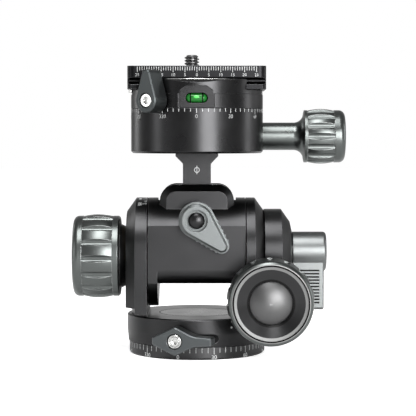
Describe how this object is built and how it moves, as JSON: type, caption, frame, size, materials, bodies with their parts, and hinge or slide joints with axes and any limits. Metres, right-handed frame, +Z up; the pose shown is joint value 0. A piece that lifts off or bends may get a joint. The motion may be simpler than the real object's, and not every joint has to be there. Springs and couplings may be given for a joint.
{
  "type": "geared tripod head",
  "caption": "Geared tripod head: panning base, yoke with geared tilt and roll knobs, and a geared pan disc under a dovetail quick-release clamp with a plate and camera screw.",
  "frame": {"origin": "centre of the tripod socket's mouth, on the base disc's underside and the pan axis", "axes": "+Z up along the pan axis out of the base, +X to the right along the tilt axis, -Y to the front where the tilt knob and the level are"},
  "size_m": [0.1184, 0.0815, 0.1281],
  "materials": {
    "black_anodised": "black satin anodised",
    "knob_anodised": "titanium grey anodised",
    "lever_dark": "dark grey anodised",
    "lever_light": "satin brushed, light grey",
    "steel": "turned steel",
    "bronze": "machined bronze",
    "slide_plastic": "natural acetal",
    "level_glass": "green spirit level"
  },
  "bodies": {
    "base": {"base_disc": "black_anodised", "base_hub": "black_anodised", "thread_insert": "steel", "spindle_collar": "steel", "collar_screws": "steel"},
    "yoke": {"yoke_frame": "black_anodised", "platform_cap": "black_anodised", "pan_friction_ring": "slide_plastic", "left_ear_bush": "bronze", "right_ear_bush": "bronze", "gear_housing": "black_anodised", "housing_screws": "steel", "tilt_worm_bushes": "bronze", "lock_pad": "slide_plastic"},
    "base_lock": {"lock_lever": "lever_dark", "lock_stud": "steel"},
    "tilt_body": {"tilt_housing": "black_anodised", "left_trunnion": "steel", "right_trunnion": "steel", "tilt_worm_wheel": "bronze", "wheel_screw": "steel", "trunnion_cone": "black_anodised", "roll_worm_bushes": "bronze", "roll_pin": "steel"},
    "tilt_drive": {"tilt_worm": "steel", "tilt_knob": "knob_anodised", "tilt_knob_cap": "black_anodised"},
    "tilt_clutch": {"tilt_clutch_lever": "lever_light", "tilt_clutch_shaft": "steel", "tilt_clutch_cap": "lever_light"},
    "roll_drive": {"roll_worm": "steel", "roll_knob": "knob_anodised", "roll_knob_cap": "black_anodised"},
    "roll_clutch": {"roll_clutch_lever": "lever_light", "roll_clutch_cap": "black_anodised"},
    "roll_body": {"roll_arm": "black_anodised", "sector_gear": "bronze", "pan_housing": "black_anodised", "pan_floor": "black_anodised", "pan_floor_screws": "steel", "pan_worm_bush": "bronze"},
    "pan_drive": {"pan_worm": "steel", "pan_knob": "knob_anodised"},
    "clamp": {"clamp_base": "black_anodised", "pan_worm_wheel": "bronze", "pan_retainer": "steel", "level_vial": "level_glass"},
    "clamp_lock": {"clamp_lever": "lever_dark", "clamp_shaft": "steel"},
    "rear_jaw": {"rear_jaw": "black_anodised", "jaw_guide_pins": "steel"},
    "plate": {"quick_release_plate": "black_anodised", "plate_stop_screws": "steel"},
    "camera_screw": {"camera_screw": "steel"}
  },
  "joints": [
    {"name": "base_pan", "type": "hinge", "parent": "base", "child": "yoke", "pos_m": [0, 0, 0], "axis": [0, 0, 1], "continuous": true},
    {"name": "base_lock_turn", "type": "hinge", "parent": "yoke", "child": "base_lock", "pos_m": [0, 0, 0.0089], "axis": [-0.2317, -0.9728, 0], "range_deg": [-20, 40]},
    {"name": "tilt", "type": "hinge", "parent": "yoke", "child": "tilt_body", "pos_m": [0, 0, 0.0434], "axis": [1, 0, 0], "range_deg": [-90, 10]},
    {"name": "tilt_knob_turn", "type": "hinge", "parent": "yoke", "child": "tilt_drive", "pos_m": [0.0303, 0, 0.0255], "axis": [0, -1, 0], "range_deg": [-2700, 300]},
    {"name": "tilt_clutch_turn", "type": "hinge", "parent": "yoke", "child": "tilt_clutch", "pos_m": [0, 0, 0.0434], "axis": [1, 0, 0], "range_deg": [0, 75]},
    {"name": "roll", "type": "hinge", "parent": "tilt_body", "child": "roll_body", "pos_m": [0, 0, 0.0581], "axis": [0, 1, 0], "range_deg": [-30, 30]},
    {"name": "roll_knob_turn", "type": "hinge", "parent": "tilt_body", "child": "roll_drive", "pos_m": [0, 0, 0.0415], "axis": [-1, 0, 0], "range_deg": [-900, 900]},
    {"name": "roll_clutch_turn", "type": "hinge", "parent": "tilt_body", "child": "roll_clutch", "pos_m": [0, 0, 0.0581], "axis": [0, -1, 0], "range_deg": [-20, 90]},
    {"name": "pan", "type": "hinge", "parent": "roll_body", "child": "clamp", "pos_m": [0, 0, 0.0932], "axis": [0, 0, 1], "continuous": true},
    {"name": "pan_knob_turn", "type": "hinge", "parent": "roll_body", "child": "pan_drive", "pos_m": [0, 0.02, 0.0932], "axis": [1, 0, 0], "continuous": true},
    {"name": "clamp_lever_turn", "type": "hinge", "parent": "clamp", "child": "clamp_lock", "pos_m": [0, 0, 0.108], "axis": [-0.5736, -0.8192, 0], "range_deg": [-110, 0]},
    {"name": "jaw_slide", "type": "slide", "parent": "clamp", "child": "rear_jaw", "axis": [0, 1, 0], "range_m": [0, 0.0015]},
    {"name": "plate_slide", "type": "slide", "parent": "clamp", "child": "plate", "axis": [1, 0, 0], "range_m": [-0.0025, 0.0025]},
    {"name": "camera_screw_turn", "type": "hinge", "parent": "plate", "child": "camera_screw", "pos_m": [-0.0022, 0, 0.1228], "axis": [0, 0, 1], "continuous": true}
  ],
  "couplings": [
    {"joint": "tilt_knob_turn", "follows": "tilt", "ratio": 30},
    {"joint": "roll_knob_turn", "follows": "roll", "ratio": -30},
    {"joint": "pan_knob_turn", "follows": "pan", "ratio": 40}
  ]
}
